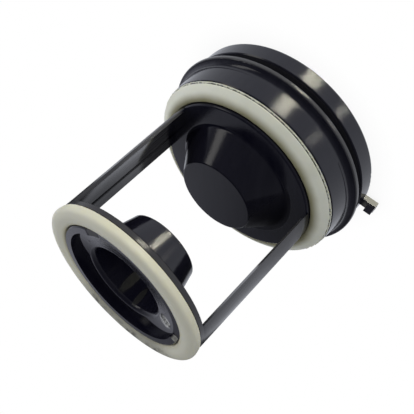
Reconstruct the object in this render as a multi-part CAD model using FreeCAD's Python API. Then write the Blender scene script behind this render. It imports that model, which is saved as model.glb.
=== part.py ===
import FreeCAD, Part
import math
import os

# Drain pump filter of a washing machine: one black moulding with two white rubber rings.
# Millimetres. The filter stands on the front of its cap, the open ring end is up (+Z).

# Cap: collar at the front, groove, rib, barrel
collar_r = 32.6
collar_h = 5.6
collar_edge = 0.8
groove_depth = 2.7
groove_w = 2.9
rib_r = 33.65
rib_t = 1.7
rib_round = 0.6
cove_h = 2.1
barrel_root_r = 31.65
barrel_end_r = 31.2
barrel_end_z = 18.2

# Cap: neck that carries the seal, disc lip that keeps it on, conical boss
neck_r = 24.4
disc_r = 25.85
disc_face_z = 22.2
disc_lip_t = 1.6
disc_round = 0.6
boss_base_r = 18.8
boss_face_r = 12.2
boss_h = 9.0
boss_round = 0.5
boss_cove = 1.1

# Cap: hollow front with the finger grip
wall = 2.2
groove_wall = 2.4
recess_edge = 0.6
recess_draft = 0.4
grip_w = 6.0
grip_w_deep = 8.6
grip_edge = 0.8

# Side arms, each a bowed web with a rib along its far edge, which ends in a flat along the draw (Y);
# the second arm is the first turned half a turn
cage_length = 44.9
arm_t = 0.9
arm_bow = 0.35
arm_from = -9.0
arm_to = 39.0
arm_rib_t = 1.3
arm_rib_from = 30.5
arm_rib_round = 0.3

# Ring end: flange, seat of the seal, rim lip, land, crescent pocket
flange_step = 0.25
flange_t = 1.8
seat_r = 20.9
lip_h = 2.6
land_drop = 0.75
land_dish = 1.15
lip_w = 2.3
lip_from = -40.0
lip_ramp_w = 4.0
lip_to = 197.0
pocket_depth = 3.2
pocket_mid = 94.0
pocket_half = 107.0
pocket_near_half = 44.0
pocket_near_r = 10.6
pocket_bow = 3.0
pocket_bow_turn = 62.0

# Small broken edges all over the moulding
edge = 0.3

# Ring end: conical spigot with its bore and round hub
spigot_length = 13.0
spigot_end_r = 11.3
spigot_root_r = 14.3
spigot_round = 0.6
bore_mouth_r = 11.5
bore_end_r = 9.3
bore_round = 1.7
hub_mid_r = 12.9
hub_round_r = 1.4
hub_drop = 1.9

# Gate well on the land
gate_r = 15.5
gate_turn = -151.0
gate_well_r = 2.1
gate_well_depth = 0.35

# Hook lug on the collar
hook_turn = -153.7
hook_w = 3.0
hook_z = 0.9
hook_t = 1.9
hook_reach = 4.3
tooth_t = 2.3
tooth_h = 2.2
tooth_lean = 0.9
tooth_ledge = 0.3
tooth_tip_w = 0.5

# Rubber rings: each sits on its seat with a small gap, its back on the shoulder
seal_gap = 0.1
seal_inner_round = 0.9
cap_seal_set_in = 0.3
cap_seal_h = 3.3
cap_seal_slope_w = 3.6
cap_seal_slope_h = 2.4
cap_seal_bulge = 0.25
cap_seal_crown = 0.15
ring_seal_proud = 0.6
ring_seal_h = 3.1
ring_seal_slope_w = 1.6
ring_seal_slope_h = 1.6
ring_seal_bulge = 0.47
ring_seal_crown = 0.3

# Sizes that follow from the ones above
groove_floor_r = collar_r - groove_depth
recess_r = groove_floor_r - groove_wall
lip_in_r = seat_r - lip_w
ring_r = disc_r + flange_step
boss_face_z = disc_face_z + boss_h
ring_back_z = disc_face_z + cage_length
spigot_end_z = ring_back_z - spigot_length
shoulder_z = ring_back_z + flange_t
rim_z = shoulder_z + lip_h
land_z = rim_z - land_drop
hub_top_z = rim_z - hub_drop
pocket_floor_z = rim_z - pocket_depth
dish_end_r = bore_mouth_r + bore_round
dish_lean = math.atan2(land_dish, lip_in_r - dish_end_r)

origin = FreeCAD.Vector(0, 0, 0)
up = FreeCAD.Vector(0, 0, 1)


def at(r, z):
    return FreeCAD.Vector(r, 0, z)


def polar(r, angle, z=0.0):
    a = math.radians(angle)
    return FreeCAD.Vector(r * math.cos(a), r * math.sin(a), z)


def outline(steps):
    # A step is a point to draw a line to, or a pair (point on the way, end point) to draw an arc to.
    edges = []
    here = steps[0]
    for step in list(steps[1:]) + [steps[0]]:
        if isinstance(step, tuple):
            edges.append(Part.Arc(here, step[0], step[1]).toShape())
            here = step[1]
        elif here.distanceToPoint(step) > 1e-6:
            edges.append(Part.makeLine(here, step))
            here = step
    return Part.Face(Part.Wire(edges))


def turned(steps, turn_from=0.0, turn_by=360.0):
    face = outline(steps)
    face.rotate(origin, up, turn_from)
    return face.revolve(origin, up, turn_by)


def round_mid(centre, radius, angle):
    a = math.radians(angle)
    return at(centre[0] + radius * math.cos(a), centre[1] + radius * math.sin(a))


def sector(r_in, r_out, z_low, z_high, turn_from, turn_to):
    steps = [at(r_in, z_low), at(r_out, z_low), at(r_out, z_high), at(r_in, z_high)]
    return turned(steps, turn_from, turn_to - turn_from)


def cap_outside():
    flank = math.atan2(boss_base_r - boss_face_r, boss_face_z - disc_face_z)
    half = 0.5 * (math.pi / 2 + flank)
    face_cut = boss_round * math.tan(0.5 * (math.pi / 2 - flank))
    face_mid_x = boss_face_r - face_cut
    top_z = boss_face_z
    flank_dir = (math.sin(flank), -math.cos(flank))
    cove_run = boss_cove / math.tan(half)
    cove_centre = (boss_base_r + cove_run, disc_face_z + boss_cove)
    rib_low_z = collar_h + groove_w
    rib_high_z = rib_low_z + rib_t
    cove_end_r = rib_r - rib_round
    cove_r = cove_end_r - barrel_root_r
    sq = math.sqrt(0.5)
    return turned([
        at(0, 0),
        at(0, top_z),
        at(face_mid_x, top_z),
        (round_mid((face_mid_x, top_z - boss_round), boss_round, 45 + math.degrees(flank) / 2),
         at(boss_face_r + face_cut * flank_dir[0], top_z + face_cut * flank_dir[1])),
        at(boss_base_r - cove_run * flank_dir[0], disc_face_z - cove_run * flank_dir[1]),
        (round_mid(cove_centre, boss_cove, 225 + math.degrees(flank) / 2),
         at(boss_base_r + cove_run, disc_face_z)),
        at(disc_r - disc_round, disc_face_z),
        (round_mid((disc_r - disc_round, disc_face_z - disc_round), disc_round, 45),
         at(disc_r, disc_face_z - disc_round)),
        at(disc_r, disc_face_z - disc_lip_t),
        at(neck_r, disc_face_z - disc_lip_t),
        at(neck_r, barrel_end_z),
        at(barrel_end_r - edge, barrel_end_z),
        at(barrel_end_r, barrel_end_z - edge),
        at(barrel_root_r, rib_high_z + cove_h),
        (at(cove_end_r - cove_r * sq, rib_high_z + cove_h * (1 - sq)), at(cove_end_r, rib_high_z)),
        (round_mid((cove_end_r, rib_high_z - rib_round), rib_round, 45),
         at(rib_r, rib_high_z - rib_round)),
        at(rib_r, rib_low_z + rib_round),
        (round_mid((cove_end_r, rib_low_z + rib_round), rib_round, -45),
         at(cove_end_r, rib_low_z)),
        at(groove_floor_r, rib_low_z),
        at(groove_floor_r, collar_h),
        at(collar_r - edge, collar_h),
        at(collar_r, collar_h - edge),
        at(collar_r, collar_edge),
        (round_mid((collar_r - collar_edge, collar_edge), collar_edge, -45),
         at(collar_r - collar_edge, 0)),
    ])


def cap_hollow():
    floor_z = barrel_end_z - wall
    neck_in = neck_r - wall
    slope = (boss_base_r - boss_face_r) / (boss_face_z - disc_face_z)
    side = wall * math.sqrt(1 + slope * slope)
    ceiling_z = disc_face_z - wall
    boss_in = boss_base_r - side + slope * wall
    top_z = boss_face_z - wall
    top_in = boss_face_r - side + slope * wall
    hollow = turned([
        at(0, -1),
        at(recess_r + recess_edge, -1),
        at(recess_r + recess_edge, 0),
        at(recess_r, recess_edge),
        at(recess_r - recess_draft, floor_z),
        at(neck_in, floor_z),
        at(neck_in, ceiling_z),
        at(boss_in, ceiling_z),
        at(top_in, top_z),
        at(0, top_z),
    ])
    half = 0.5 * grip_w
    deep = 0.5 * grip_w_deep
    reach = recess_r + recess_edge
    bar = outline([
        FreeCAD.Vector(-reach, -half + grip_edge, 0),
        FreeCAD.Vector(-reach, half - grip_edge, 0),
        FreeCAD.Vector(-reach, half, grip_edge),
        FreeCAD.Vector(-reach, deep, boss_face_z),
        FreeCAD.Vector(-reach, -deep, boss_face_z),
        FreeCAD.Vector(-reach, -half, grip_edge),
    ]).extrude(FreeCAD.Vector(2 * reach, 0, 0))
    return hollow.cut(bar)


def arm():
    foot_z = disc_face_z - disc_round
    web_r = disc_r - arm_t
    rib_in_r = disc_r - arm_rib_t
    rib_mid = 0.5 * (arm_rib_from + arm_to)
    round_turn = math.degrees(arm_rib_round / rib_in_r)
    flat_turn = math.degrees(math.acos(rib_in_r * math.cos(math.radians(arm_to)) / disc_r))
    mid = 0.5 * (arm_from + flat_turn)
    sq = math.sqrt(0.5)
    round_mid_r = rib_in_r + arm_rib_round * (1 - sq)
    section = outline([
        polar(web_r, arm_from, foot_z),
        polar(disc_r - edge, arm_from, foot_z),
        polar(disc_r, arm_from + math.degrees(edge / disc_r), foot_z),
        (polar(disc_r + arm_bow, mid, foot_z), polar(disc_r, flat_turn, foot_z)),
        polar(rib_in_r, arm_to, foot_z),
        (polar(rib_in_r, rib_mid, foot_z), polar(rib_in_r, arm_rib_from + round_turn, foot_z)),
        (polar(round_mid_r, arm_rib_from + round_turn * (1 - sq), foot_z),
         polar(rib_in_r + arm_rib_round, arm_rib_from, foot_z)),
        polar(web_r, arm_rib_from, foot_z),
        (polar(web_r + arm_bow, mid, foot_z), polar(web_r, arm_from, foot_z)),
    ])
    return section.extrude(up * (ring_back_z + edge - foot_z))


def spigot():
    lean = (spigot_root_r - spigot_end_r) / (ring_back_z - spigot_end_z)
    hub_low_z = hub_top_z - hub_round_r
    return turned([
        at(bore_end_r + edge, spigot_end_z),
        at(spigot_end_r - spigot_round, spigot_end_z),
        (round_mid((spigot_end_r - spigot_round, spigot_end_z + spigot_round), spigot_round, -45),
         at(spigot_end_r, spigot_end_z + spigot_round)),
        at(spigot_root_r + lean * edge, ring_back_z + edge),
        at(hub_mid_r + hub_round_r, ring_back_z + edge),
        at(hub_mid_r + hub_round_r, hub_low_z),
        (at(hub_mid_r, hub_top_z), at(hub_mid_r - hub_round_r, hub_low_z)),
        at(bore_end_r, spigot_end_z + edge),
    ])


def plate():
    round_z = land_z - land_dish - bore_round * math.cos(dish_lean)
    return turned([
        at(bore_mouth_r, ring_back_z),
        at(ring_r - edge, ring_back_z),
        at(ring_r, ring_back_z + edge),
        at(ring_r, shoulder_z - edge),
        at(ring_r - edge, shoulder_z),
        at(seat_r, shoulder_z),
        at(seat_r, rim_z - edge),
        at(seat_r - edge, rim_z),
        at(lip_in_r, rim_z),
        at(lip_in_r, land_z),
        at(dish_end_r - bore_round * math.sin(dish_lean), land_z - land_dish),
        (round_mid((dish_end_r, round_z), bore_round, 135 + math.degrees(dish_lean) / 2),
         at(bore_mouth_r, round_z)),
    ])


def crescent():
    near_a = polar(pocket_near_r, pocket_mid - pocket_near_half, pocket_floor_z)
    near_b = polar(pocket_near_r, pocket_mid + pocket_near_half, pocket_floor_z)
    far_a = polar(lip_in_r, pocket_mid - pocket_half, pocket_floor_z)
    far_b = polar(lip_in_r, pocket_mid + pocket_half, pocket_floor_z)
    bow_a = (near_a + far_a) * 0.5 + polar(pocket_bow, pocket_mid - pocket_bow_turn)
    bow_b = (near_b + far_b) * 0.5 + polar(pocket_bow, pocket_mid + pocket_bow_turn)
    return outline([
        far_a,
        (polar(lip_in_r, pocket_mid, pocket_floor_z), far_b),
        (bow_b, near_b),
        (polar(pocket_near_r, pocket_mid, pocket_floor_z), near_a),
        (bow_a, far_a),
    ]).extrude(FreeCAD.Vector(0, 0, rim_z - pocket_floor_z))


def lip_ramp():
    # The slope that brings one end of the rim lip down to the land.
    top_z = rim_z + edge
    side = [(0, land_z), (lip_ramp_w, rim_z), (lip_ramp_w, top_z), (-edge, top_z), (-edge, land_z)]
    face = outline([FreeCAD.Vector(bore_mouth_r, y, z) for y, z in side])
    wedge = face.extrude(FreeCAD.Vector(ring_r - bore_mouth_r, 0, 0))
    wedge.rotate(origin, up, lip_from)
    return wedge


def ring_end():
    no_lip = sector(bore_mouth_r, ring_r, land_z, rim_z + edge, lip_to, 360 + lip_from)
    well_axis = polar(-math.sin(dish_lean), gate_turn, math.cos(dish_lean))
    well_top = polar(gate_r, gate_turn, land_z - (lip_in_r - gate_r) * math.tan(dish_lean))
    well = Part.makeCylinder(gate_well_r, lip_h, well_top - well_axis * gate_well_depth, well_axis)
    return plate().cut(crescent()).cut(no_lip).cut(lip_ramp()).cut(well).fuse(spigot())


def hook():
    # A flat leaf on the collar with a barb on its end, whose front leans back from a narrow ledge.
    out_r = collar_r + hook_reach
    root_r = groove_floor_r
    top_z = hook_z + hook_t
    front = 0.5 * hook_w
    toe = front - tooth_ledge
    tip = toe - tooth_lean
    leaf = Part.makeBox(out_r - root_r, hook_w, hook_t, FreeCAD.Vector(root_r, -front, hook_z))
    barb = outline([
        FreeCAD.Vector(out_r, toe, top_z - edge),
        FreeCAD.Vector(out_r, tip, top_z + tooth_h),
        FreeCAD.Vector(out_r, tip - tooth_tip_w, top_z + tooth_h),
        FreeCAD.Vector(out_r, tip - tooth_tip_w, top_z - edge),
    ]).extrude(FreeCAD.Vector(-tooth_t, 0, 0))
    lug = leaf.fuse(barb)
    lug.rotate(origin, up, hook_turn)
    return lug


def seal(r_in, step_r, step_z, r_out, z_low, height, slope_w, slope_h, bulge, crown):
    # Flat back on the shoulder, bore on the seat, a step under the lip that keeps it on, crowned front
    # that falls to the outer side over a bulged slope.
    width = r_out - step_r
    front_z = z_low + height - crown
    slope_w = min(slope_w, 0.75 * width)
    slope_h = min(slope_h, 0.8 * (height - crown))
    inner = min(seal_inner_round, 0.2 * width, 0.9 * (front_z - step_z))
    lean = math.atan2(slope_w, slope_h)
    slope_mid = at(r_out - 0.5 * slope_w + bulge * math.cos(lean),
                   front_z - 0.5 * slope_h + bulge * math.sin(lean))
    crown_mid = at(0.5 * (step_r + inner + r_out - slope_w), z_low + height)
    return turned([
        at(r_in, z_low),
        at(r_out - edge, z_low),
        at(r_out, z_low + edge),
        at(r_out, front_z - slope_h),
        (slope_mid, at(r_out - slope_w, front_z)),
        (crown_mid, at(step_r + inner, front_z)),
        (round_mid((step_r + inner, front_z - inner), inner, 135),
         at(step_r, front_z - inner)),
        at(step_r, step_z),
        at(r_in, step_z),
    ])


second_arm = arm()
second_arm.rotate(origin, up, 180)
cap = cap_outside().fuse(hook()).cut(cap_hollow())
filter_body = cap.fuse([arm(), second_arm, ring_end()]).removeSplitter()
cap_seal = seal(neck_r + seal_gap, disc_r + seal_gap, disc_face_z - disc_lip_t - seal_gap,
                barrel_end_r - cap_seal_set_in, barrel_end_z, cap_seal_h,
                cap_seal_slope_w, cap_seal_slope_h, cap_seal_bulge, cap_seal_crown)
ring_seal = seal(seat_r + seal_gap, seat_r + seal_gap, shoulder_z,
                 ring_r + ring_seal_proud, shoulder_z, ring_seal_h,
                 ring_seal_slope_w, ring_seal_slope_h, ring_seal_bulge, ring_seal_crown)

os.makedirs("parts", exist_ok=True)
filter_body.exportStep("parts/filter_body.step")
cap_seal.exportStep("parts/cap_seal.step")
ring_seal.exportStep("parts/ring_seal.step")
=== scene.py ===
"""Washer pump filter: a black moulded body with two milky rubber rings, dressed around its solids."""

import logging
import math
from dataclasses import dataclass
from enum import Enum

import bpy
import numpy as np
from mathutils import Matrix, Vector


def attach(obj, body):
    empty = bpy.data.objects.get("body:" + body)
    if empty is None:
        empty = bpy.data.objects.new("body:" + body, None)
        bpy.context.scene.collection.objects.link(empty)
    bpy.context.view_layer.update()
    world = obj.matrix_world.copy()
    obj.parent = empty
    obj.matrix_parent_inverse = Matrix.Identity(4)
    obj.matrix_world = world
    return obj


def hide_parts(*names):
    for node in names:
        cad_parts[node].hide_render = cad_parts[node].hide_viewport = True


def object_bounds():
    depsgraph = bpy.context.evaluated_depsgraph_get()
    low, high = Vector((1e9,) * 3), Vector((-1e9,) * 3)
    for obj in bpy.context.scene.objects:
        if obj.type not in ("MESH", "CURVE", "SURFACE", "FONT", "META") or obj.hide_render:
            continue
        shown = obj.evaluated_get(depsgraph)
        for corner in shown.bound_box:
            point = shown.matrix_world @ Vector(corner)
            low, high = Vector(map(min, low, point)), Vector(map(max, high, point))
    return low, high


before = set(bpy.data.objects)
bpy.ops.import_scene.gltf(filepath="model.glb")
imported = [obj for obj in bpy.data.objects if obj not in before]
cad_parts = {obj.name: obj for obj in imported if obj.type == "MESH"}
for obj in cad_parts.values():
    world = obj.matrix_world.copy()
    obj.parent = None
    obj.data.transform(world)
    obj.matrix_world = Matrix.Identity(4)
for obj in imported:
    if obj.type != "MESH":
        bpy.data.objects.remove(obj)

MM = 0.001
BODY = "root"
LOG = logging.getLogger("washer_pump_filter")
CAD_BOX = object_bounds()

Colour = tuple[float, float, float]
Point = tuple[float, float, float]
Span = tuple[float, float]


class Slot(Enum):
    """The record's material slots."""

    PLASTIC = "black_plastic"
    RUBBER = "white_rubber"


class Sense(Enum):
    """What a lamp takes part in: everything, or only the plain light and no reflection."""

    EVERYTHING = "everything"
    LIGHT = "light"


@dataclass
class Value:
    """A number socket of a shader that takes part in Python expressions.

    Args:
        graph: the graph that new Math nodes go into.
        socket: the output socket that holds the number.
    """

    graph: "Graph"
    socket: bpy.types.NodeSocket

    def math(self, operation: str, *others: "Value | float") -> "Value":
        """Adds a Math node with this value first.

        Args:
            operation: the Math node's operation.
            others: further inputs, values or plain numbers.

        Returns:
            The node's result.
        """
        return self.graph.math(operation, self, *others)

    def __add__(self, other: "Value | float") -> "Value":
        """Sum."""
        return self.math("ADD", other)

    __radd__ = __add__

    def __mul__(self, other: "Value | float") -> "Value":
        """Product."""
        return self.math("MULTIPLY", other)

    __rmul__ = __mul__

    def __sub__(self, other: "Value | float") -> "Value":
        """Difference."""
        return self.math("SUBTRACT", other)

    def __rsub__(self, other: float) -> "Value":
        """Difference with a plain number first."""
        return self.graph.math("SUBTRACT", other, self)

    def __truediv__(self, other: "Value | float") -> "Value":
        """Quotient."""
        return self.math("DIVIDE", other)

    def __pow__(self, other: "Value | float") -> "Value":
        """Power."""
        return self.math("POWER", other)

    def step(self, low: float, high: float) -> "Value":
        """A smooth rise from 0 at low to 1 at high, or a fall where low is the larger.

        Args:
            low: where the result is 0.
            high: where the result is 1.

        Returns:
            A value from 0 to 1.
        """
        ends = {"From Min": low, "From Max": high}
        if low > high:
            ends = {"From Min": high, "From Max": low, "To Min": 1.0, "To Max": 0.0}
        smooth = {"interpolation_type": "SMOOTHSTEP"}
        node = self.graph.node("ShaderNodeMapRange", smooth, {"Value": self, **ends})
        return Value(self.graph, node.outputs["Result"])


class Graph:
    """A node tree that is written as Python expressions.

    Args:
        tree: the node tree of a material or a world.
    """

    def __init__(self, tree: bpy.types.NodeTree) -> None:
        """Empties the tree."""
        self.tree = tree
        self.tree.nodes.clear()

    def node(self, kind: str, settings: dict | None = None, inputs: dict | None = None) -> bpy.types.Node:
        """Adds any node.

        Args:
            kind: the node's type.
            settings: the node's own properties, set first.
            inputs: socket name or index to a plain value, a Value or an output socket.

        Returns:
            The new node.
        """
        made = self.tree.nodes.new(kind)
        for name, setting in (settings or {}).items():
            setattr(made, name, setting)
        for name, value in (inputs or {}).items():
            source = value.socket if isinstance(value, Value) else value
            if isinstance(source, bpy.types.NodeSocket):
                self.tree.links.new(source, made.inputs[name])
            else:
                made.inputs[name].default_value = source
        return made

    def math(self, operation: str, *values: Value | float) -> Value:
        """Adds a Math node.

        Args:
            operation: the node's operation.
            values: its inputs in order, values or plain numbers.

        Returns:
            The node's result.
        """
        made = self.node("ShaderNodeMath", {"operation": operation}, dict(enumerate(values)))
        return Value(self, made.outputs[0])

    def mix(self, factor: Value | float, first: object, second: object) -> bpy.types.NodeSocket:
        """Mixes two colours.

        Args:
            factor: 0 gives the first colour, 1 the second.
            first: a colour or a colour socket.
            second: a colour or a colour socket.

        Returns:
            The mixed colour's socket.
        """
        colours = {"Factor": factor, 6: rgba(first), 7: rgba(second)}
        made = self.node("ShaderNodeMix", {"data_type": "RGBA"}, colours)
        return made.outputs[2]

    def place(self) -> tuple[bpy.types.NodeSocket, Value, Value, Value]:
        """The point on the piece, in metres.

        Returns:
            The vector's socket and its x, y and z.
        """
        point = self.node("ShaderNodeTexCoord").outputs["Object"]
        parts = self.node("ShaderNodeSeparateXYZ", None, {"Vector": point})
        return (point, *(Value(self, parts.outputs[k]) for k in range(3)))

    def noise(self, vector: object, scale: float, detail: float = 2.0, rough: float = 0.5) -> Value:
        """Fractal noise from 0 to 1.

        Args:
            vector: the point that the noise is read at.
            scale: waves per unit of the point.
            detail: octaves of finer noise.
            rough: share of the finer octaves.

        Returns:
            The noise.
        """
        inputs = {"Vector": vector, "Scale": scale, "Detail": detail, "Roughness": rough}
        return Value(self, self.node("ShaderNodeTexNoise", None, inputs).outputs["Fac"])

    def vector(self, x: Value | float, y: Value | float, z: Value | float) -> bpy.types.NodeSocket:
        """Puts three numbers together as a point."""
        return self.node("ShaderNodeCombineXYZ", None, {0: x, 1: y, 2: z}).outputs[0]

    def near(self, x: Value, y: Value, z: Value, spot: Point, upright: float) -> Value:
        """Distance from a point, with heights counted less.

        Args:
            x: the surface point's x, in metres.
            y: its y.
            z: its z.
            spot: the point, in metres.
            upright: what heights are divided by.

        Returns:
            The distance in metres.
        """
        squares = (x - spot[0]) ** 2.0 + (y - spot[1]) ** 2.0 + ((z - spot[2]) / upright) ** 2.0
        return squares.math("SQRT")

    def bump(self, height: Value, strength: float, distance: float) -> bpy.types.NodeSocket:
        """A normal from a height.

        Args:
            height: the height, 0 to 1.
            strength: share of the full tilt.
            distance: the height of 1, in metres.

        Returns:
            The normal's socket.
        """
        inputs = {"Height": height, "Strength": strength, "Distance": distance}
        return self.node("ShaderNodeBump", None, inputs).outputs["Normal"]


def rgba(colour: object) -> object:
    """Gives a plain colour its alpha and leaves a socket alone."""
    return (*colour, 1.0) if isinstance(colour, tuple) and len(colour) == 3 else colour


def polar(radius: float, turn: float) -> Span:
    """The x and y of a point at a radius and a turn in degrees from +X."""
    return radius * math.cos(math.radians(turn)), radius * math.sin(math.radians(turn))


@dataclass(frozen=True)
class Mark:
    """A spot of colour on the plastic, in millimetres and degrees: whitened places, dark spots, painted
    highlights and painted light.

    The place is a radius, a turn and a height. Reach is the spot's radius, share its strength, and core the
    part of the reach that has it in full. Broken is the part that is broken up into grains, and upright makes
    the spot longer along Z.
    """

    radius: float
    turn: float
    height: float
    reach: float
    colour: Colour
    share: float = 1.0
    broken: float = 0.0
    upright: float = 1.0
    core: float = 0.55

    def spot(self) -> Point:
        """The place in metres."""
        x, y = polar(self.radius, self.turn)
        return x * MM, y * MM, self.height * MM

    def cover(self, graph: Graph, x: Value, y: Value, z: Value, grains: Value) -> Value:
        """How much of the spot's colour lies on a surface point.

        Args:
            graph: the plastic's graph.
            x: the point's x, in metres.
            y: its y.
            z: its z.
            grains: 1 on a grain and 0 between grains.

        Returns:
            A value from 0 to 1.
        """
        away = graph.near(x, y, z, self.spot(), self.upright)
        near = away.step(MM * self.reach, self.core * MM * self.reach)
        return near * (self.share * (1.0 - self.broken) + self.share * self.broken * grains)


@dataclass(frozen=True)
class Zone:
    """A zone of the moulding between two radii and two heights, in millimetres.

    Each edge is soft: it says where the zone sets in and where it is full.
    """

    inner: Span
    outer: Span | None = None
    low: Span | None = None
    high: Span | None = None

    def mask(self, radius: Value, height: Value) -> Value:
        """Multiplies the steps of the zone's edges.

        Args:
            radius: a surface point's radius, in millimetres.
            height: its height, in millimetres.

        Returns:
            1 inside the zone and 0 outside it.
        """
        mask = radius.step(*self.inner)
        for value, edge in ((radius, self.outer), (height, self.low), (height, self.high)):
            if edge:
                mask = mask * value.step(*edge)
        return mask


@dataclass(frozen=True)
class BlackPlastic:
    """Moulded black plastic: satin, with fine lines along the draw, a few whitened places, and lighter greys
    that are partly painted sheen, painted fill light and painted highlights, partly rubbing and dust.
    """

    deep: Colour = (0.0042, 0.0042, 0.0105)
    worn: Colour = (0.0095, 0.0095, 0.0170)
    # Lighter greys: rubbing with painted sheen, scuffing with painted sheen, and a dusty grey with painted
    # fill light.
    sheen_and_rubbing: Colour = (0.055, 0.055, 0.060)
    sheen_and_scuffing: Colour = (0.080, 0.080, 0.086)
    dust_and_fill: Colour = (0.040, 0.040, 0.047)
    smooth: float = 0.08
    dull: float = 0.20
    mark_roughness: float = 0.3
    flank_dull: float = 0.55
    arm_dull: float = 0.35
    line_scale: Span = (1900.0, 80.0)
    sweep_scale: Point = (520.0, 45.0, 120.0)
    cloud_scale: float = 70.0
    speck_scale: float = 1500.0
    grain_scale: float = 1300.0
    relief: float = 0.05
    rib: Zone = Zone((33.25, 33.55), (34.2, 33.9))
    arms: Zone = Zone((19.0, 20.0), None, (23.0, 25.0), (67.0, 66.0))
    rim: Zone = Zone((25.5, 26.0), None, (67.0, 67.3), (68.95, 68.8))
    groove: Zone = Zone((29.0, 29.6), (32.3, 31.9), (5.4, 5.7), (8.6, 8.3))
    flank: Zone = Zone((12.0, 12.4), (20.6, 20.0), (21.9, 22.1), (31.1, 30.8))
    flank_x: Span = (-0.009, -0.013)
    arm_inner_r: Span = (25.75, 25.55)
    arm_outer_r: Span = (25.55, 25.75)
    sheen_and_scuff_z: Span = (56.0, 36.0)
    matt_z: Span = (58.0, 30.0)
    marks: tuple[Mark, ...] = (
        Mark(15.2, -157.0, 69.8, 2.6, (0.58, 0.59, 0.60), 1.0, 0.7),
        # Painted highlight on the lit end wall of the lip.
        Mark(19.9, -161.5, 71.2, 1.3, (0.42, 0.42, 0.40), 0.9, 0.3),
        # Painted highlight on the hook leaf's lit faces and on the collar beside it.
        Mark(35.0, -154.0, 1.5, 3.6, (0.25, 0.25, 0.225), 0.95, 0.05, 0.5),
        # Painted light that lifts the shaded end of the lip's ramp.
        Mark(19.7, -34.8, 71.0, 2.3, (0.085, 0.085, 0.095), 0.9),
        # Painted highlights: two soft streaks on the bore's far wall.
        Mark(10.8, 103.0, 63.5, 1.8, (0.021, 0.021, 0.019), 0.9, 0.3, 4.5),
        Mark(11.3, 131.0, 66.0, 1.3, (0.017, 0.017, 0.016), 0.9, 0.3, 4.0),
        Mark(14.9, -8.4, 70.0, 0.45, (0.001, 0.001, 0.001)),
    )

    def material(self) -> bpy.types.Material:
        """Builds the plastic.

        Returns:
            The material, on Object coordinates.
        """
        made = bpy.data.materials.new("black_plastic_moulded")
        made.use_nodes = True
        graph = Graph(made.node_tree)
        point, x, y, z = graph.place()
        across, along = self.line_scale
        drawn = graph.noise(graph.vector(x * across, y * across, z * along), 1.0, 3.0, 0.6)
        wide, long, tall = self.sweep_scale
        swept = graph.noise(graph.vector((x + y) * wide, (x - y) * long, z * tall), 1.0, 3.0, 0.6)
        cloud = graph.noise(point, self.cloud_scale, 3.0)
        specks = graph.noise(point, self.speck_scale, 1.0).step(0.74, 0.80)
        grains = graph.noise(point, self.grain_scale, 4.0, 0.7).step(0.42, 0.60)
        lines = drawn.step(0.35, 0.65)
        radius, height = (x * x + y * y).math("SQRT") / MM, z / MM
        rib, arms, rim, groove, flank = (
            zone.mask(radius, height) for zone in (self.rib, self.arms, self.rim, self.groove, self.flank))

        hazed = cloud.step(0.35, 0.7) * 0.4 + swept.step(0.35, 0.65) * 0.5 + specks * 0.1
        colour = graph.mix(hazed, self.deep, self.worn)
        # Painted sheen on the rib and the flange rim, standing in for the light they reflect, with rubbing
        # wear along the arms' lines.
        sheen_and_rubbing = rib * (0.4 + 0.6 * cloud) + arms * (0.30 + 0.60 * lines * cloud) + rim * (0.3 + 0.5 * cloud)
        colour = graph.mix(sheen_and_rubbing, colour, self.sheen_and_rubbing)
        # Painted sheen: the arms lighter towards the cap and on their inner side, broken up by scuff lines
        # along the draw.
        sheen_and_scuffing = arms * (0.25 + 0.75 * radius.step(*self.arm_inner_r)) * height.step(*self.sheen_and_scuff_z)
        colour = graph.mix(sheen_and_scuffing * (0.5 + 0.5 * lines), colour, self.sheen_and_scuffing)
        # A dusty grey with painted fill light: the groove lifted out of its shade.
        colour = graph.mix(groove * (0.5 + 0.5 * cloud), colour, self.dust_and_fill)
        # Every mark's share roughens and raises the surface, the painted highlights and painted light
        # included.
        mark_share: Value | float = 0.0
        for mark in self.marks:
            cover = mark.cover(graph, x, y, z, grains)
            colour = graph.mix(cover, colour, mark.colour)
            mark_share = cover.math("MAXIMUM", mark_share)

        rough = self.smooth + (self.dull - self.smooth) * (0.5 * drawn + 0.2 * swept + 0.3 * cloud)
        rough = rough + self.mark_roughness * mark_share + self.flank_dull * flank * x.step(*self.flank_x)
        rough = rough + self.arm_dull * arms * radius.step(*self.arm_outer_r) * height.step(*self.matt_z)
        relief = (drawn + 0.25 * swept) * (1.0 - 0.8 * mark_share) + 0.8 * mark_share
        shader = graph.node("ShaderNodeBsdfPrincipled", None, {
            "Base Color": colour,
            "Roughness": rough,
            "IOR": 1.48,
            "Normal": graph.bump(relief, 0.35, self.relief * MM),
        })
        graph.node("ShaderNodeOutputMaterial", None, {"Surface": shader.outputs[0]})
        return made


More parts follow.
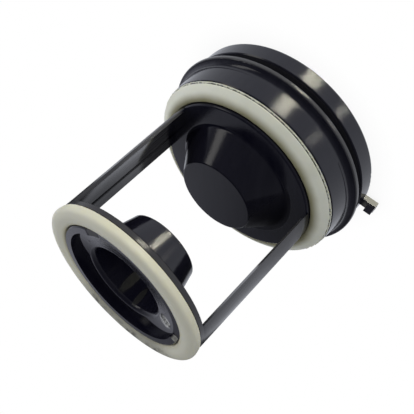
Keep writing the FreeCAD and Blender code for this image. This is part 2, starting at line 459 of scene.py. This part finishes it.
@dataclass(frozen=True)
class MilkyRubber:
    """Milky rubber: off-white, yellowish and darker towards its inner side as partly painted shade, with an
    arc of turns darkened by painted shade and dirt blots.

    Lengths are in millimetres and turns in degrees. The yellowish colour with its painted shade sets in at
    the first of the radii shaded_yellow_r and is full at the second. Dirt blots lie outside soil_r, and the
    painted shade with the blots lies around soil_and_shade_mid. Painted shade darkens the crease between the
    heights crease_z, inside crease_r.
    """

    name: str
    milk: Colour
    # The inner side's yellowish colour is partly painted shade.
    shaded_yellow: Colour
    shaded_yellow_r: Span
    # This dark colour is dirt in the blots and painted shade over the arc of turns and in the crease.
    soil_and_shade: Colour = (0.07, 0.07, 0.07)
    soil_r: Span = (21.6, 23.6)
    soil_and_shade_mid: float = 122.0
    soil_and_shade_half: float = 58.0
    soil_and_shade_share: float = 0.0
    crease_z: Span = (0.0, 0.0)
    crease_r: Span = (31.0, 30.85)
    crease_edge: float = 0.06
    cloud_scale: float = 160.0
    grain_scale: float = 3000.0
    blot_scale: float = 420.0
    relief: float = 0.04
    glow_depth: float = 0.8

    def material(self) -> bpy.types.Material:
        """Builds the rubber.

        Returns:
            The material, on Object coordinates.
        """
        made = bpy.data.materials.new(self.name)
        made.use_nodes = True
        graph = Graph(made.node_tree)
        point, x, y, z = graph.place()
        radius = (x * x + y * y).math("SQRT") / MM
        cloud = graph.noise(point, self.cloud_scale, 3.0)
        grain = graph.noise(point, self.grain_scale, 2.0)
        turn = graph.math("ARCTAN2", y, x) * math.degrees(1.0)
        aside = graph.math("WRAP", turn - self.soil_and_shade_mid, 180.0, -180.0).math("ABSOLUTE")
        # Painted shade over an arc of turns, with dirt blots on it.
        stretch = aside.step(self.soil_and_shade_half, 0.45 * self.soil_and_shade_half) * self.soil_and_shade_share
        blots = graph.noise(point, self.blot_scale, 5.0, 0.75).step(0.47, 0.60) * radius.step(*self.soil_r)
        soiled_and_shaded = stretch * (0.52 + 0.45 * blots)
        # Yellowish and darker towards the inner side: partly painted shade.
        aged_and_shaded = radius.step(*self.shaded_yellow_r) * 0.85 + (cloud - 0.5) * 0.35
        colour = graph.mix(aged_and_shaded.math("MAXIMUM", 0.0), self.milk, self.shaded_yellow)
        # Painted shade in the crease between the flash and the bead.
        low, high = self.crease_z
        height = z / MM
        crease = height.step(low - self.crease_edge, low) * height.step(high + self.crease_edge, high)
        crease = crease * radius.step(*self.crease_r)
        colour = graph.mix(soiled_and_shaded.math("MAXIMUM", 0.95 * crease), colour, self.soil_and_shade)
        shader = graph.node("ShaderNodeBsdfPrincipled", None, {
            "Base Color": colour,
            "Roughness": 0.40 + 0.14 * cloud,
            "IOR": 1.42,
            "Subsurface Weight": 0.25,
            "Subsurface Radius": (1.0, 0.85, 0.5),
            "Subsurface Scale": self.glow_depth * MM,
            "Normal": graph.bump(grain + 2.0 * cloud, 0.12, self.relief * MM),
        })
        graph.node("ShaderNodeOutputMaterial", None, {"Surface": shader.outputs[0]})
        return made


@dataclass
class SealRing:
    """A rubber ring: a rounded section carried round the filter's axis.

    The section starts at the back's inner corner, runs out along the back, up the outer side, over the crown
    and down the inner side. What lies outside flash_r is torn flash, whose edge goes in and out.
    """

    name: str
    node: str
    finish: MilkyRubber
    corners: tuple[Point, ...]
    arc_steps: int = 9
    turn_steps: int = 480
    wobble: float = 0.04
    flash_r: float = 99.0
    flash: float = 0.0
    flash_lift: float = 0.6
    flash_gain: float = 1.6
    seed: int = 3

    def section(self) -> np.ndarray:
        """The closed section, each corner (r, z, rounding) replaced by its arc.

        Each arc is a quadratic curve from one tangent point to the other with the corner between them.

        Returns:
            Points (r, z) in millimetres, in order.
        """
        corner = np.array(self.corners)
        point, rounding = corner[:, :2], corner[:, 2:]
        before = np.roll(point, 1, 0) - point
        after = np.roll(point, -1, 0) - point
        start = point + rounding * before / np.linalg.norm(before, axis=1, keepdims=True)
        end = point + rounding * after / np.linalg.norm(after, axis=1, keepdims=True)
        t = np.linspace(0.0, 1.0, self.arc_steps)[None, :, None]
        arcs = (1 - t) ** 2 * start[:, None] + 2 * t * (1 - t) * point[:, None] + t ** 2 * end[:, None]
        return arcs.reshape(-1, 2)

    def build(self) -> bpy.types.Object:
        """Turns the section about Z: x = r cos a, y = r sin a, with a slow wobble and a torn flash edge.

        Returns:
            The ring, riding on the body and standing for its node.
        """
        section = self.section()
        angle = np.linspace(0.0, 2 * np.pi, self.turn_steps, endpoint=False)
        random = np.random.default_rng(self.seed)
        phase = random.uniform(0.0, 2 * np.pi, 5)
        slow = np.sin(np.outer(angle, np.arange(2, 7)) + phase).mean(1)
        torn = np.convolve(np.tile(random.uniform(-1.0, 1.0, self.turn_steps), 3), np.ones(3) / 3, "same")
        torn = np.clip(torn[self.turn_steps:2 * self.turn_steps] * self.flash_gain, -1.0, 1.0)
        outside = section[:, :1] > self.flash_r
        radius = section[:, :1] + self.wobble * slow + self.flash * outside * torn
        height = section[:, 1:] + self.flash_lift * outside * (section[:, 1:] - section[:, 1:].min()) * torn
        grid = np.stack([radius * np.cos(angle), radius * np.sin(angle), height], -1) * MM
        rows, columns = grid.shape[:2]
        index = np.arange(rows * columns).reshape(rows, columns)
        up, along = np.roll(index, -1, 0), np.roll(index, -1, 1)
        faces = np.stack([index, along, np.roll(up, -1, 1), up], -1).reshape(-1, 4)
        mesh = bpy.data.meshes.new(self.name)
        mesh.from_pydata(grid.reshape(-1, 3).tolist(), [], faces.tolist())
        mesh.polygons.foreach_set("use_smooth", np.ones(len(faces), bool))
        mesh.update()
        ring = bpy.data.objects.new(self.name, mesh)
        bpy.context.scene.collection.objects.link(ring)
        ring.data.materials.append(self.finish.material())
        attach(ring, BODY)
        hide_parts(self.node)
        LOG.info("%s: %d faces", self.name, len(faces))
        return ring


@dataclass
class FilterBody:
    """The black moulding, which keeps its own solid."""

    node: str = "filter_body"
    finish: BlackPlastic = BlackPlastic()

    def dress(self) -> bpy.types.Object:
        """Gives the moulding its plastic.

        Returns:
            The moulding.
        """
        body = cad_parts[self.node]
        plastic = self.finish.material()
        for slot in body.material_slots:
            slot.material = plastic
        LOG.info("%s: dressed", self.node)
        return body


@dataclass(frozen=True)
class StripLamp:
    """A long soft lamp that faces the filter.

    The lamp stands at a turn about Z and a rise above the level, in degrees, and its length lies in the plane
    of the filter's axis. Its sizes and how far away it stands are in metres.
    """

    name: str
    turn: float
    rise: float
    width: float
    length: float
    radiance: float
    tint: Colour = (1.0, 1.0, 1.0)
    away: float = 0.6
    sense: Sense = Sense.EVERYTHING

    def build(self, target: Vector) -> bpy.types.Object:
        """Puts the lamp in the scene.

        Args:
            target: the point that the lamp faces.

        Returns:
            The lamp.
        """
        turn, rise = math.radians(self.turn), math.radians(self.rise)
        out = Vector((math.cos(turn) * math.cos(rise), math.sin(turn) * math.cos(rise), math.sin(rise)))
        side = Vector((-math.sin(turn), math.cos(turn), 0.0))
        data = bpy.data.lights.new(self.name, "AREA")
        data.shape = "RECTANGLE"
        data.size, data.size_y = self.width, self.length
        data.energy = self.radiance * math.pi * self.width * self.length
        data.color = self.tint
        data.cycles.use_multiple_importance_sampling = self.rise > 0
        lamp = bpy.data.objects.new(self.name, data)
        axes = Matrix((side, out.cross(side), out)).transposed()
        lamp.matrix_world = Matrix.Translation(target + out * self.away) @ axes.to_4x4()
        lamp.visible_camera = False
        lamp.visible_glossy = self.sense is not Sense.LIGHT
        bpy.context.scene.collection.objects.link(lamp)
        return lamp


@dataclass
class Studio:
    """White floor and background, a dim canopy that only gloss sees, and strip lamps."""

    floor_half: float = 3.0
    floor_drop: float = 0.0002
    canopy_r: float = 1.6
    canopy_low: float = 0.0
    canopy_glow: Span = (0.74, 0.07)
    canopy_tint: Colour = (0.90, 0.92, 1.05)
    canopy_front: float = 60.0
    canopy_facing: Span = (0.70, 0.87)
    canopy_rise: Span = (0.05, 1.0)
    canopy_back: float = 0.3
    canopy_grid: tuple[int, int] = (24, 64)
    fill: float = 0.28
    shadow: float = 0.10
    shadow_reach: float = 0.008
    sheet: tuple[float, float, float] = (0.76, 0.60, 0.05)
    sheet_tint: Colour = (0.94, 0.97, 1.06)
    sheet_near: Span = (0.12, 0.08)
    sheet_far: Span = (0.30, 0.20)
    sheet_edge: Span = (0.150, 0.110)
    floor_matt: Colour = (0.50, 0.50, 0.50)
    lamps: tuple[StripLamp, ...] = (
        StripLamp("key_strip", -65.5, -36.0, 0.13, 0.54, 9.6, (1.0, 0.96, 0.78)),
        StripLamp("low_strip", -109.0, -37.0, 0.06, 0.16, 4.4, (1.0, 0.96, 0.82)),
        StripLamp("side_strip", -3.0, 27.0, 0.15, 0.40, 1.6, (1.0, 0.98, 0.93)),
        StripLamp("side_glow", 34.0, 26.0, 0.20, 0.17, 1.6, away=0.2, sense=Sense.LIGHT),
        StripLamp("front_glow", -72.0, 24.0, 0.60, 0.40, 1.0, sense=Sense.LIGHT),
        StripLamp("left_glow", 172.0, 24.0, 0.50, 0.40, 1.0, sense=Sense.LIGHT),
    )

    @staticmethod
    def seen(graph: Graph) -> Value:
        """Is 1 for camera, glossy and transmission rays and 0 for the rest."""
        path = graph.node("ShaderNodeLightPath").outputs
        rays = ("Is Camera Ray", "Is Glossy Ray", "Is Transmission Ray")
        camera, glossy, through = (Value(graph, path[ray]) for ray in rays)
        return camera.math("MAXIMUM", glossy).math("MAXIMUM", through)

    def world(self) -> None:
        """A background that is white where it is seen and a plain fill for everything else."""
        world = bpy.data.worlds.new("studio")
        world.use_nodes = True
        bpy.context.scene.world = world
        graph = Graph(world.node_tree)
        strength = self.fill + (1.0 - self.fill) * self.seen(graph)
        sky = graph.node("ShaderNodeBackground", None, {"Color": (1.0, 1.0, 1.0, 1.0), "Strength": strength})
        graph.node("ShaderNodeOutputWorld", None, {"Surface": sky.outputs[0]})

    def floor(self) -> bpy.types.Object:
        """A flat square under the filter, white, with the filter's soft shadow.

        Returns:
            The floor.
        """
        h, z = self.floor_half, -self.floor_drop
        mesh = bpy.data.meshes.new("floor")
        mesh.from_pydata([(-h, -h, z), (h, -h, z), (h, h, z), (-h, h, z)], [], [(0, 1, 2, 3)])
        material = bpy.data.materials.new("white_floor")
        material.use_nodes = True
        graph = Graph(material.node_tree)
        open_share = Value(graph, graph.node("ShaderNodeAmbientOcclusion", {"samples": 16}, {
            "Distance": self.shadow_reach}).outputs["AO"])
        _, x, y, _ = graph.place()
        camera = Value(graph, graph.node("ShaderNodeLightPath").outputs["Is Camera Ray"])
        radius = (x * x + y * y).math("SQRT")
        near, far, beyond = self.sheet
        paper = radius.step(*self.sheet_far) * y.step(*self.sheet_edge)
        white = beyond + (far - beyond) * paper + (near - far) * radius.step(*self.sheet_near)
        white = white.math("MAXIMUM", camera)
        glow = graph.node("ShaderNodeEmission", None, {
            "Color": graph.mix(camera, self.sheet_tint, (1.0, 1.0, 1.0)),
            "Strength": white * (1.0 - self.shadow * (1.0 - open_share))})
        matt = graph.node("ShaderNodeBsdfDiffuse", None, {"Color": rgba(self.floor_matt)})
        both = graph.node("ShaderNodeMixShader", None, {
            0: self.seen(graph), 1: matt.outputs[0], 2: glow.outputs[0]})
        graph.node("ShaderNodeOutputMaterial", None, {"Surface": both.outputs[0]})
        mesh.materials.append(material)
        floor = bpy.data.objects.new("floor", mesh)
        bpy.context.scene.collection.objects.link(floor)
        floor.visible_shadow = False
        return floor

    def canopy(self) -> bpy.types.Object:
        """A dim dome over the filter: a grid of turn and rise on a sphere, seen only in reflections.

        Returns:
            The canopy.
        """
        levels, sides = self.canopy_grid
        rise = np.radians(np.linspace(self.canopy_low, 89.0, levels))[:, None]
        turn = np.linspace(0.0, 2 * np.pi, sides, endpoint=False)[None, :]
        grid = self.canopy_r * np.stack([
            np.cos(rise) * np.cos(turn), np.cos(rise) * np.sin(turn), np.sin(rise) + 0.0 * turn], -1)
        rows, columns = grid.shape[:2]
        index = np.arange(rows * columns).reshape(rows, columns)
        low, high = index[:-1], index[1:]
        faces = np.stack([low, high, np.roll(high, -1, 1), np.roll(low, -1, 1)], -1).reshape(-1, 4)
        mesh = bpy.data.meshes.new("canopy")
        mesh.from_pydata(grid.reshape(-1, 3).tolist(), [], faces.tolist())
        material = bpy.data.materials.new("dim_canopy")
        material.use_nodes = True
        graph = Graph(material.node_tree)
        _, x, y, z = graph.place()
        high_share = (z / self.canopy_r).step(*self.canopy_rise)
        front_x, front_y = polar(1.0, self.canopy_front)
        facing = ((x * front_x + y * front_y) / (x * x + y * y).math("SQRT")).step(*self.canopy_facing)
        low_full, high_glow = self.canopy_glow
        low_glow = low_full * (self.canopy_back + (1.0 - self.canopy_back) * facing)
        glow = graph.node("ShaderNodeEmission", None, {
            "Color": rgba(self.canopy_tint),
            "Strength": low_glow + (high_glow - low_glow) * high_share})
        graph.node("ShaderNodeOutputMaterial", None, {"Surface": glow.outputs[0]})
        mesh.materials.append(material)
        canopy = bpy.data.objects.new("canopy", mesh)
        bpy.context.scene.collection.objects.link(canopy)
        canopy.visible_camera = False
        canopy.visible_diffuse = False
        canopy.visible_transmission = False
        canopy.visible_shadow = False
        return canopy

    def build(self) -> None:
        """Sets up world, floor, canopy and lamps."""
        low, high = CAD_BOX
        target = (low + high) / 2
        self.world()
        self.floor()
        self.canopy()
        for lamp in self.lamps:
            lamp.build(target)
        bpy.context.scene.view_settings.view_transform = "Standard"
        LOG.info("studio: %d lamps", len(self.lamps))


@dataclass
class PhotoCamera:
    """The viewpoint: place in millimetres, angles in degrees, lens and shift as shares of the frame."""

    eye: Point = (23.76, -167.50, 123.66)
    azimuth: float = 3.88
    elevation: float = 24.89
    roll: float = 131.99
    lens_share: float = 1.5797
    shift: Span = (0.1278, -0.0316)
    sensor: float = 36.0
    clip: Span = (0.01, 20.0)

    def build(self) -> bpy.types.Object:
        """Makes the scene's camera.

        Returns:
            The camera.
        """
        a, e, turn = (math.radians(v) for v in (self.azimuth, self.elevation, self.roll))
        back = Vector((math.sin(a) * math.cos(e), -math.cos(a) * math.cos(e), math.sin(e)))
        level = Vector((0.0, 0.0, 1.0)).cross(back).normalized()
        upright = back.cross(level)
        up = math.cos(turn) * upright + math.sin(turn) * level
        axes = Matrix((up.cross(back), up, back)).transposed()
        data = bpy.data.cameras.new("photo_camera")
        data.sensor_width = self.sensor
        data.lens = self.lens_share * self.sensor
        data.shift_x, data.shift_y = self.shift
        data.clip_start, data.clip_end = self.clip
        camera = bpy.data.objects.new("photo_camera", data)
        camera.matrix_world = Matrix.Translation(Vector(self.eye) * MM) @ axes.to_4x4()
        bpy.context.scene.collection.objects.link(camera)
        bpy.context.scene.camera = camera
        return camera


def cap_ring() -> SealRing:
    """The ring on the cap's neck, with torn flash along its back edge."""
    # The dark olive inner colour is painted shade, and the crease gets painted shade.
    finish = MilkyRubber("cap_seal_rubber_finish", milk=(0.77, 0.79, 0.70), shaded_yellow=(0.20, 0.185, 0.085),
                         shaded_yellow_r=(29.4, 26.6), crease_z=(18.6, 18.82))
    corners = (
        (24.5, 18.2, 0.05), (30.7, 18.2, 0.03), (31.1, 18.42, 0.03), (31.1, 18.54, 0.03), (30.4, 18.6, 0.06),
        (30.6, 18.86, 0.1), (30.9, 19.06, 0.25), (29.35, 20.45, 1.4), (27.1, 21.4, 0.5), (26.0, 21.35, 0.5),
        (25.95, 20.5, 0.05), (24.5, 20.5, 0.05),
    )
    return SealRing("cap_seal_rubber", "cap_seal", finish, corners, arc_steps=7, turn_steps=960,
                    flash_r=30.98, flash=0.1)


def end_ring() -> SealRing:
    """The ring on the ring end's seat, with an arc of painted shade and dirt blots."""
    finish = MilkyRubber("ring_seal_rubber_finish", milk=(0.68, 0.68, 0.58), shaded_yellow=(0.50, 0.48, 0.34),
                         shaded_yellow_r=(22.6, 21.0), soil_and_shade_share=0.9)
    corners = (
        (21.0, 68.9, 0.05), (26.35, 68.9, 0.3), (26.8, 71.5, 1.5), (24.3, 72.08, 1.0), (21.0, 71.3, 0.8),
    )
    return SealRing("ring_seal_rubber", "ring_seal", finish, corners, seed=8)


def main() -> None:
    logging.basicConfig(level=logging.INFO)
    FilterBody().dress()
    for ring in (cap_ring(), end_ring()):
        ring.build()
    Studio().build()
    PhotoCamera().build()


if __name__ == "__main__":
    main()
